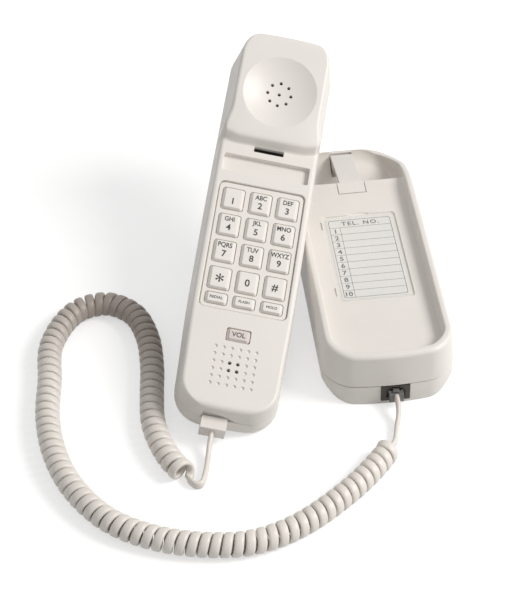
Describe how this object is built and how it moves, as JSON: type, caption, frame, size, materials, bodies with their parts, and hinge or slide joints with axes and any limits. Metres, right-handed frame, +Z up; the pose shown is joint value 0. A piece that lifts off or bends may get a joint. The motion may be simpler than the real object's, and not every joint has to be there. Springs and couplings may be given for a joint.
{
  "type": "corded telephone",
  "caption": "Corded landline telephone: slim desk base with tray and hook lever, a keypad handset lifted off and leaning on it, and a curly cord that joins them.",
  "frame": {"origin": "middle of the underside of the base's floor, where the base stands on the desk", "axes": "+Y runs along the base from the cord's end to the end that takes the earpiece, +Z is up, +X is to the right seen from the cord's end"},
  "size_m": [0.2171, 0.2839, 0.1113],
  "materials": {
    "shell_plastic": "satin, faintly textured",
    "key_plastic": "satin",
    "volume_plastic": "satin",
    "circuit_board": "satin",
    "brass": "satin",
    "black_plastic": "matte",
    "jack_plastic": "matte",
    "card": "matte paper",
    "clear_window": "clear and glossy",
    "steel": "satin",
    "rubber": "matte",
    "clear_plug": "clear",
    "cord_jacket": "satin"
  },
  "bodies": {
    "base": {"base_top_shell": "shell_plastic", "base_bottom_shell": "shell_plastic", "base_board": "circuit_board", "ringer": "brass", "hook_switch": "black_plastic", "base_handset_jack": "jack_plastic", "line_jack": "jack_plastic", "index_card": "card", "index_cover": "clear_window", "base_weight": "steel", "base_foot_1": "rubber", "base_foot_2": "rubber", "base_foot_3": "rubber", "base_foot_4": "rubber", "base_screw_1": "steel", "base_screw_2": "steel", "base_screw_3": "steel", "base_screw_4": "steel", "hook_pin": "steel", "hook_spring": "steel", "cord_plug_base": "clear_plug", "cord_tail_handset": "cord_jacket", "cord_tail_base": "cord_jacket", "cord_coil_handset": "cord_jacket", "cord_coil_base": "cord_jacket"},
    "hook_lever": {"hook_lever": "shell_plastic"},
    "handset": {"handset_front_shell": "shell_plastic", "handset_back_shell": "shell_plastic", "keypad_frame": "shell_plastic", "keypad_mat": "rubber", "handset_board": "circuit_board", "receiver_capsule": "steel", "receiver_gasket": "rubber", "microphone_capsule": "steel", "microphone_boot": "rubber", "handset_jack": "jack_plastic", "handset_screw_1": "steel", "handset_screw_2": "steel", "handset_screw_3": "steel", "cord_plug_handset": "clear_plug"},
    "key_1": {"key_1": "key_plastic"},
    "key_2": {"key_2": "key_plastic"},
    "key_3": {"key_3": "key_plastic"},
    "key_4": {"key_4": "key_plastic"},
    "key_5": {"key_5": "key_plastic"},
    "key_6": {"key_6": "key_plastic"},
    "key_7": {"key_7": "key_plastic"},
    "key_8": {"key_8": "key_plastic"},
    "key_9": {"key_9": "key_plastic"},
    "key_star": {"key_star": "key_plastic"},
    "key_0": {"key_0": "key_plastic"},
    "key_hash": {"key_hash": "key_plastic"},
    "key_redial": {"key_redial": "key_plastic"},
    "key_flash": {"key_flash": "key_plastic"},
    "key_hold": {"key_hold": "key_plastic"},
    "key_volume": {"key_volume": "volume_plastic"}
  },
  "joints": [
    {"name": "hook_hinge", "type": "hinge", "parent": "base", "child": "hook_lever", "pos_m": [0, 0.0855, 0.0066], "axis": [1, 0, 0], "range_deg": [0, 7], "stiffness_Nm_per_rad": 0.125, "springref_deg": -6.88, "deforming": ["hook_spring"]},
    {"name": "handset_lift", "type": "slide", "parent": "base", "child": "handset", "axis": [0, 0, 1], "range_m": [0, 0.05]},
    {"name": "key_1_press", "type": "slide", "parent": "handset", "child": "key_1", "axis": [-0.1102, 0.3512, -0.9298], "range_m": [0, 0.0014], "stiffness_N_per_m": 400, "springref_m": -0.0005},
    {"name": "key_2_press", "type": "slide", "parent": "handset", "child": "key_2", "axis": [-0.1102, 0.3512, -0.9298], "range_m": [0, 0.0014], "stiffness_N_per_m": 400, "springref_m": -0.0005},
    {"name": "key_3_press", "type": "slide", "parent": "handset", "child": "key_3", "axis": [-0.1102, 0.3512, -0.9298], "range_m": [0, 0.0014], "stiffness_N_per_m": 400, "springref_m": -0.0005},
    {"name": "key_4_press", "type": "slide", "parent": "handset", "child": "key_4", "axis": [-0.1102, 0.3512, -0.9298], "range_m": [0, 0.0014], "stiffness_N_per_m": 400, "springref_m": -0.0005},
    {"name": "key_5_press", "type": "slide", "parent": "handset", "child": "key_5", "axis": [-0.1102, 0.3512, -0.9298], "range_m": [0, 0.0014], "stiffness_N_per_m": 400, "springref_m": -0.0005},
    {"name": "key_6_press", "type": "slide", "parent": "handset", "child": "key_6", "axis": [-0.1102, 0.3512, -0.9298], "range_m": [0, 0.0014], "stiffness_N_per_m": 400, "springref_m": -0.0005},
    {"name": "key_7_press", "type": "slide", "parent": "handset", "child": "key_7", "axis": [-0.1102, 0.3512, -0.9298], "range_m": [0, 0.0014], "stiffness_N_per_m": 400, "springref_m": -0.0005},
    {"name": "key_8_press", "type": "slide", "parent": "handset", "child": "key_8", "axis": [-0.1102, 0.3512, -0.9298], "range_m": [0, 0.0014], "stiffness_N_per_m": 400, "springref_m": -0.0005},
    {"name": "key_9_press", "type": "slide", "parent": "handset", "child": "key_9", "axis": [-0.1102, 0.3512, -0.9298], "range_m": [0, 0.0014], "stiffness_N_per_m": 400, "springref_m": -0.0005},
    {"name": "key_star_press", "type": "slide", "parent": "handset", "child": "key_star", "axis": [-0.1102, 0.3512, -0.9298], "range_m": [0, 0.0014], "stiffness_N_per_m": 400, "springref_m": -0.0005},
    {"name": "key_0_press", "type": "slide", "parent": "handset", "child": "key_0", "axis": [-0.1102, 0.3512, -0.9298], "range_m": [0, 0.0014], "stiffness_N_per_m": 400, "springref_m": -0.0005},
    {"name": "key_hash_press", "type": "slide", "parent": "handset", "child": "key_hash", "axis": [-0.1102, 0.3512, -0.9298], "range_m": [0, 0.0014], "stiffness_N_per_m": 400, "springref_m": -0.0005},
    {"name": "key_redial_press", "type": "slide", "parent": "handset", "child": "key_redial", "axis": [-0.1102, 0.3512, -0.9298], "range_m": [0, 0.0014], "stiffness_N_per_m": 400, "springref_m": -0.0005},
    {"name": "key_flash_press", "type": "slide", "parent": "handset", "child": "key_flash", "axis": [-0.1102, 0.3512, -0.9298], "range_m": [0, 0.0014], "stiffness_N_per_m": 400, "springref_m": -0.0005},
    {"name": "key_hold_press", "type": "slide", "parent": "handset", "child": "key_hold", "axis": [-0.1102, 0.3512, -0.9298], "range_m": [0, 0.0014], "stiffness_N_per_m": 400, "springref_m": -0.0005},
    {"name": "key_volume_press", "type": "slide", "parent": "handset", "child": "key_volume", "axis": [-0.1102, 0.3512, -0.9298], "range_m": [0, 0.0014], "stiffness_N_per_m": 400, "springref_m": -0.0005}
  ]
}
